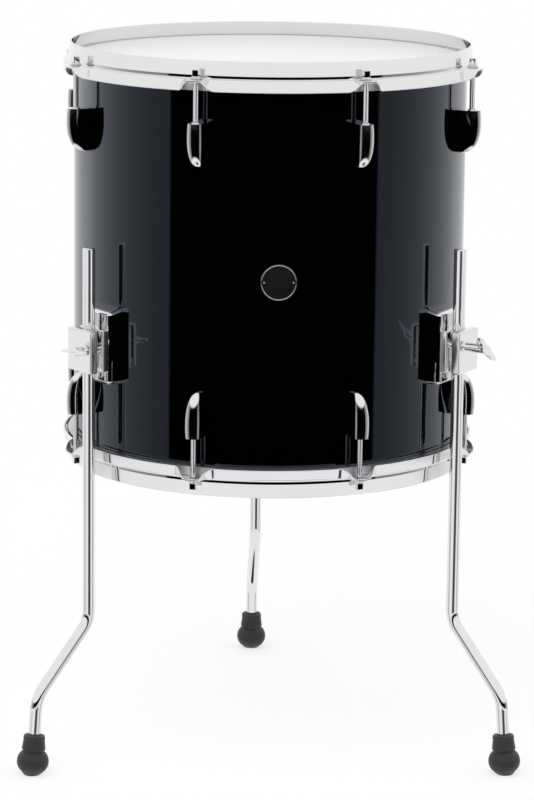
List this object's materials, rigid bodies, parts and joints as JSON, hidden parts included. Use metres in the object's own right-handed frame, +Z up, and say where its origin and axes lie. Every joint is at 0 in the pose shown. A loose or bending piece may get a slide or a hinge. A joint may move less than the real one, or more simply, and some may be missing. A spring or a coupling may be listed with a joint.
{
  "type": "floor tom",
  "caption": "Floor tom drum: black lacquered shell with chrome hoops, lugs and tension rods, on three bent legs held in clamp brackets.",
  "frame": {"origin": "middle of the bounding box's footprint, on the floor under the rubber feet", "axes": "+Z up, the badge faces -Y, +X to the right of someone who looks at the badge"},
  "size_m": [0.5168, 0.5288, 0.7348],
  "materials": {
    "chrome": "polished",
    "black_gloss_lacquer": "gloss lacquer",
    "white_film": "satin coating",
    "aluminium_channel": "satin",
    "black_rubber": "matte",
    "badge_enamel": "gloss",
    "zinc_steel": "zinc plated"
  },
  "bodies": {
    "drum": {"shell": "black_gloss_lacquer", "badge": "badge_enamel", "vent_grommet": "chrome", "batter_head": "white_film", "resonant_head": "white_film", "batter_flesh_hoop": "aluminium_channel", "resonant_flesh_hoop": "aluminium_channel", "batter_hoop": "chrome", "resonant_hoop": "chrome", "lug_top_front_left": "chrome", "lug_top_front_side_left": "chrome", "lug_top_rear_side_left": "chrome", "lug_top_rear_left": "chrome", "lug_top_front_right": "chrome", "lug_top_front_side_right": "chrome", "lug_top_rear_side_right": "chrome", "lug_top_rear_right": "chrome", "lug_bottom_front_left": "chrome", "lug_bottom_front_side_left": "chrome", "lug_bottom_rear_side_left": "chrome", "lug_bottom_rear_left": "chrome", "lug_bottom_front_right": "chrome", "lug_bottom_front_side_right": "chrome", "lug_bottom_rear_side_right": "chrome", "lug_bottom_rear_right": "chrome", "bracket_left": "chrome", "bracket_right": "chrome", "bracket_rear": "chrome", "backing_plate_left": "zinc_steel", "backing_plate_right": "zinc_steel", "backing_plate_rear": "zinc_steel"},
    "rod_top_front_left": {"tension_rod_top_front_left": "chrome"},
    "rod_top_front_side_left": {"tension_rod_top_front_side_left": "chrome"},
    "rod_top_rear_side_left": {"tension_rod_top_rear_side_left": "chrome"},
    "rod_top_rear_left": {"tension_rod_top_rear_left": "chrome"},
    "rod_top_front_right": {"tension_rod_top_front_right": "chrome"},
    "rod_top_front_side_right": {"tension_rod_top_front_side_right": "chrome"},
    "rod_top_rear_side_right": {"tension_rod_top_rear_side_right": "chrome"},
    "rod_top_rear_right": {"tension_rod_top_rear_right": "chrome"},
    "rod_bottom_front_left": {"tension_rod_bottom_front_left": "chrome"},
    "rod_bottom_front_side_left": {"tension_rod_bottom_front_side_left": "chrome"},
    "rod_bottom_rear_side_left": {"tension_rod_bottom_rear_side_left": "chrome"},
    "rod_bottom_rear_left": {"tension_rod_bottom_rear_left": "chrome"},
    "rod_bottom_front_right": {"tension_rod_bottom_front_right": "chrome"},
    "rod_bottom_front_side_right": {"tension_rod_bottom_front_side_right": "chrome"},
    "rod_bottom_rear_side_right": {"tension_rod_bottom_rear_side_right": "chrome"},
    "rod_bottom_rear_right": {"tension_rod_bottom_rear_right": "chrome"},
    "clamp_left": {"clamp_plate_left": "chrome"},
    "clamp_right": {"clamp_plate_right": "chrome"},
    "clamp_rear": {"clamp_plate_rear": "chrome"},
    "wing_left": {"wing_bolt_left": "chrome"},
    "wing_right": {"wing_bolt_right": "chrome"},
    "wing_rear": {"wing_bolt_rear": "chrome"},
    "stand_left": {"leg_left": "chrome", "rubber_foot_left": "black_rubber"},
    "stand_right": {"leg_right": "chrome", "rubber_foot_right": "black_rubber"},
    "stand_rear": {"leg_rear": "chrome", "rubber_foot_rear": "black_rubber"}
  },
  "joints": [
    {"name": "turn_rod_top_front_left", "type": "hinge", "parent": "drum", "child": "rod_top_front_left", "pos_m": [-0.08069, -0.25108, 0.717], "axis": [0, 0, 1], "continuous": true},
    {"name": "turn_rod_top_front_side_left", "type": "hinge", "parent": "drum", "child": "rod_top_front_side_left", "pos_m": [-0.19835, -0.13343, 0.717], "axis": [0, 0, 1], "continuous": true},
    {"name": "turn_rod_top_rear_side_left", "type": "hinge", "parent": "drum", "child": "rod_top_rear_side_left", "pos_m": [-0.19835, 0.03296, 0.717], "axis": [0, 0, 1], "continuous": true},
    {"name": "turn_rod_top_rear_left", "type": "hinge", "parent": "drum", "child": "rod_top_rear_left", "pos_m": [-0.08069, 0.15062, 0.717], "axis": [0, 0, 1], "continuous": true},
    {"name": "turn_rod_top_front_right", "type": "hinge", "parent": "drum", "child": "rod_top_front_right", "pos_m": [0.0857, -0.25108, 0.717], "axis": [0, 0, 1], "continuous": true},
    {"name": "turn_rod_top_front_side_right", "type": "hinge", "parent": "drum", "child": "rod_top_front_side_right", "pos_m": [0.20336, -0.13343, 0.717], "axis": [0, 0, 1], "continuous": true},
    {"name": "turn_rod_top_rear_side_right", "type": "hinge", "parent": "drum", "child": "rod_top_rear_side_right", "pos_m": [0.20336, 0.03296, 0.717], "axis": [0, 0, 1], "continuous": true},
    {"name": "turn_rod_top_rear_right", "type": "hinge", "parent": "drum", "child": "rod_top_rear_right", "pos_m": [0.0857, 0.15062, 0.717], "axis": [0, 0, 1], "continuous": true},
    {"name": "turn_rod_bottom_front_left", "type": "hinge", "parent": "drum", "child": "rod_bottom_front_left", "pos_m": [-0.08069, -0.25108, 0.316], "axis": [0, 0, -1], "continuous": true},
    {"name": "turn_rod_bottom_front_side_left", "type": "hinge", "parent": "drum", "child": "rod_bottom_front_side_left", "pos_m": [-0.19835, -0.13343, 0.316], "axis": [0, 0, -1], "continuous": true},
    {"name": "turn_rod_bottom_rear_side_left", "type": "hinge", "parent": "drum", "child": "rod_bottom_rear_side_left", "pos_m": [-0.19835, 0.03296, 0.316], "axis": [0, 0, -1], "continuous": true},
    {"name": "turn_rod_bottom_rear_left", "type": "hinge", "parent": "drum", "child": "rod_bottom_rear_left", "pos_m": [-0.08069, 0.15062, 0.316], "axis": [0, 0, -1], "continuous": true},
    {"name": "turn_rod_bottom_front_right", "type": "hinge", "parent": "drum", "child": "rod_bottom_front_right", "pos_m": [0.0857, -0.25108, 0.316], "axis": [0, 0, -1], "continuous": true},
    {"name": "turn_rod_bottom_front_side_right", "type": "hinge", "parent": "drum", "child": "rod_bottom_front_side_right", "pos_m": [0.20336, -0.13343, 0.316], "axis": [0, 0, -1], "continuous": true},
    {"name": "turn_rod_bottom_rear_side_right", "type": "hinge", "parent": "drum", "child": "rod_bottom_rear_side_right", "pos_m": [0.20336, 0.03296, 0.316], "axis": [0, 0, -1], "continuous": true},
    {"name": "turn_rod_bottom_rear_right", "type": "hinge", "parent": "drum", "child": "rod_bottom_rear_right", "pos_m": [0.0857, 0.15062, 0.316], "axis": [0, 0, -1], "continuous": true},
    {"name": "open_clamp_left", "type": "slide", "parent": "drum", "child": "clamp_left", "axis": [-0.8271, -0.5621, 0], "range_m": [0, 0.00281]},
    {"name": "open_clamp_right", "type": "slide", "parent": "drum", "child": "clamp_right", "axis": [0.8271, -0.5621, 0], "range_m": [0, 0.00281]},
    {"name": "open_clamp_rear", "type": "slide", "parent": "drum", "child": "clamp_rear", "axis": [0, 1, 0], "range_m": [0, 0.00281]},
    {"name": "turn_wing_left", "type": "hinge", "parent": "clamp_left", "child": "wing_left", "pos_m": [-0.17947, -0.19023, 0.4365], "axis": [-0.8271, -0.5621, 0], "range_deg": [0, 810]},
    {"name": "turn_wing_right", "type": "hinge", "parent": "clamp_right", "child": "wing_right", "pos_m": [0.18448, -0.19023, 0.4415], "axis": [0.8271, -0.5621, 0], "range_deg": [0, 810]},
    {"name": "turn_wing_rear", "type": "hinge", "parent": "clamp_rear", "child": "wing_rear", "pos_m": [-0.011, 0.17897, 0.439], "axis": [0, 1, 0], "range_deg": [0, 810]},
    {"name": "slide_leg_left", "type": "slide", "parent": "drum", "child": "stand_left", "axis": [0, 0, 1], "range_m": [-0.075, 0.2]},
    {"name": "slide_leg_right", "type": "slide", "parent": "drum", "child": "stand_right", "axis": [0, 0, 1], "range_m": [-0.075, 0.2]},
    {"name": "slide_leg_rear", "type": "slide", "parent": "drum", "child": "stand_rear", "axis": [0, 0, 1], "range_m": [-0.075, 0.2]}
  ],
  "couplings": [
    {"joint": "turn_wing_left", "follows": "open_clamp_left", "rad_per_m": 5026.5},
    {"joint": "turn_wing_right", "follows": "open_clamp_right", "rad_per_m": 5026.5},
    {"joint": "turn_wing_rear", "follows": "open_clamp_rear", "rad_per_m": 5026.5}
  ]
}
